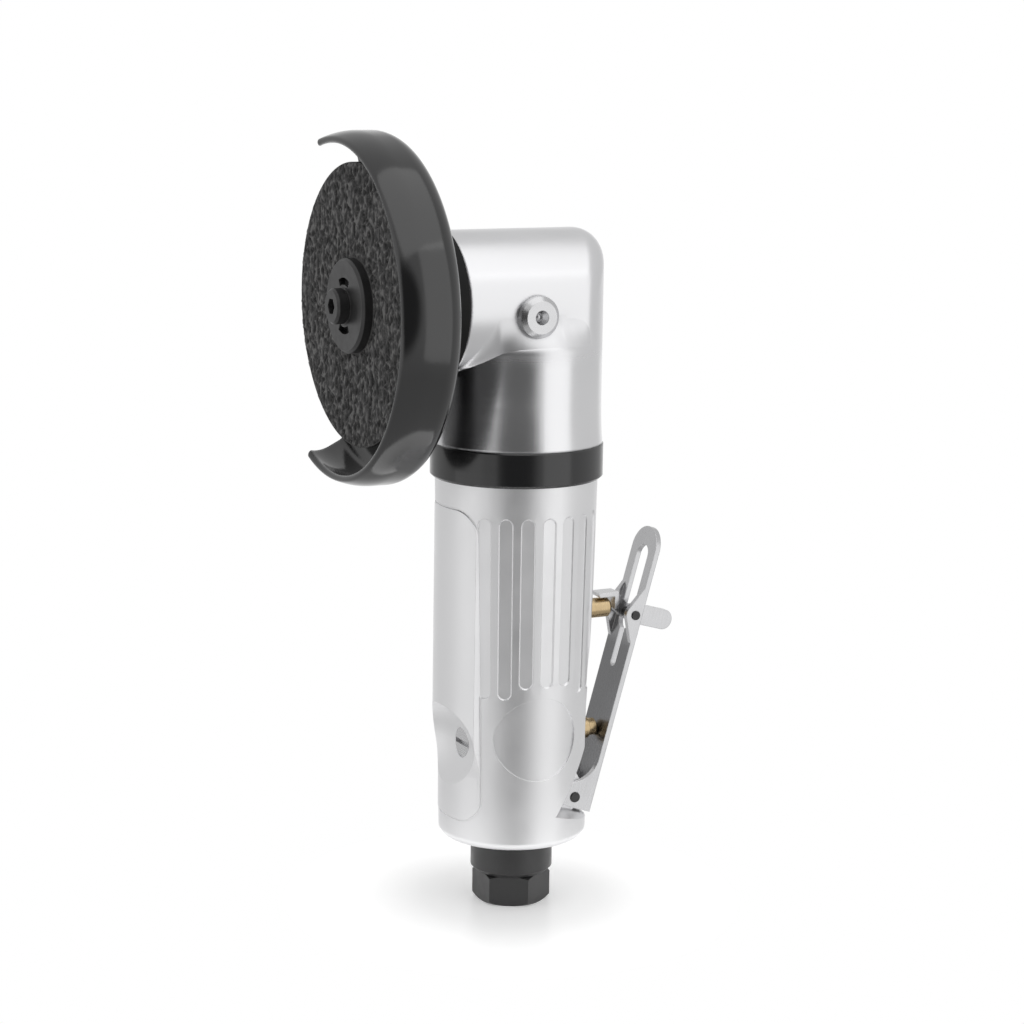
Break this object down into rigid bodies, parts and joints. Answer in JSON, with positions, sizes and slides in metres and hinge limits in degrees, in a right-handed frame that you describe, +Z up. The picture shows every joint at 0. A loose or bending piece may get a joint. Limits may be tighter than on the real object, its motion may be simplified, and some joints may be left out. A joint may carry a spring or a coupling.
{
  "type": "air angle grinder",
  "caption": "Compressed-air angle grinder: fluted handle with vane motor and lever throttle, right-angle gear head, abrasive wheel and half-open swivelling guard.",
  "frame": {"origin": "centre of the air inlet's lower face, on the handle axis", "axes": "+Z up the handle axis to the head, -X along the spindle towards the wheel, throttle lever on +X, grease fitting on -Y"},
  "size_m": [0.1052, 0.0842, 0.2153],
  "materials": {
    "handle_aluminium": "satin casting",
    "head_aluminium": "polished casting",
    "black_metal": "gloss black",
    "black_steel": "black oxide",
    "steel": "ground",
    "lever_steel": "polished sheet",
    "brass": "turned",
    "abrasive": "resin-bonded grit",
    "vane": "phenolic laminate",
    "rubber": "moulded"
  },
  "bodies": {
    "tool_body": {"motor_housing": "handle_aluminium", "lock_ring": "black_metal", "air_inlet": "black_steel", "inlet_screen": "steel", "rear_end_plate": "steel", "rear_rotor_bearing": "steel", "motor_cylinder": "steel", "front_end_plate": "steel", "front_rotor_bearing": "steel", "angle_head": "head_aluminium", "pinion_bearing": "steel", "pinion_retaining_ring": "steel", "spindle_front_bearing": "steel", "spindle_rear_bearing": "steel", "bearing_cap": "steel", "grease_fitting": "steel", "throttle_bush": "brass", "safety_stop_pin": "brass", "lever_pivot_pin": "black_steel"},
    "rotor_body": {"rotor": "steel", "rotor_vanes": "vane", "bevel_pinion": "steel"},
    "spindle_body": {"spindle": "black_steel", "bevel_gear": "steel", "gear_key": "steel", "inner_flange": "black_steel", "grinding_disc": "abrasive", "clamp_nut": "black_steel"},
    "guard_body": {"wheel_guard": "black_metal", "guard_collar": "black_metal", "guard_clamp_screw": "black_steel"},
    "lever_body": {"throttle_lever": "lever_steel", "safety_pin": "black_steel", "safety_spring": "steel"},
    "safety_body": {"safety_lever": "lever_steel"},
    "valve_body": {"throttle_valve": "brass", "valve_seal": "rubber", "valve_spring": "steel"},
    "regulator_body": {"air_regulator": "steel", "regulator_seal": "rubber"},
    "check_ball_body": {"grease_check_ball": "steel"}
  },
  "joints": [
    {"name": "spindle_spin", "type": "hinge", "parent": "tool_body", "child": "spindle_body", "pos_m": [0, 0, 0.1696], "axis": [1, 0, 0], "continuous": true},
    {"name": "rotor_spin", "type": "hinge", "parent": "tool_body", "child": "rotor_body", "pos_m": [0, 0, 0.1], "axis": [0, 0, 1], "continuous": true},
    {"name": "throttle_lever", "type": "hinge", "parent": "tool_body", "child": "lever_body", "pos_m": [0.0167, 0, 0.0286], "axis": [0, -1, 0], "range_deg": [0, 3.4], "stiffness_Nm_per_rad": 1.5, "springref_deg": -2.86},
    {"name": "safety_lever", "type": "hinge", "parent": "lever_body", "child": "safety_body", "pos_m": [0.03513, 0, 0.0796], "axis": [0, 1, 0], "range_deg": [0, 65]},
    {"name": "throttle_valve", "type": "slide", "parent": "tool_body", "child": "valve_body", "axis": [-1, 0, 0], "range_m": [0, 0.00122]},
    {"name": "air_regulator", "type": "hinge", "parent": "tool_body", "child": "regulator_body", "pos_m": [-0.0132, 0, 0.0468], "axis": [1, 0, 0], "range_deg": [0, 180]},
    {"name": "guard_swivel", "type": "hinge", "parent": "tool_body", "child": "guard_body", "pos_m": [-0.031, 0, 0.1696], "axis": [1, 0, 0], "range_deg": [-120, 120]},
    {"name": "grease_check_ball", "type": "slide", "parent": "tool_body", "child": "check_ball_body", "axis": [0, 1, 0], "range_m": [0, 0.0008], "stiffness_N_per_m": 150, "springref_m": -0.0005}
  ],
  "couplings": [
    {"joint": "rotor_spin", "follows": "spindle_spin", "ratio": -1.5},
    {"joint": "safety_lever", "follows": "throttle_lever", "ratio": 19.1},
    {"joint": "throttle_valve", "follows": "throttle_lever", "m_per_rad": 0.02053}
  ]
}
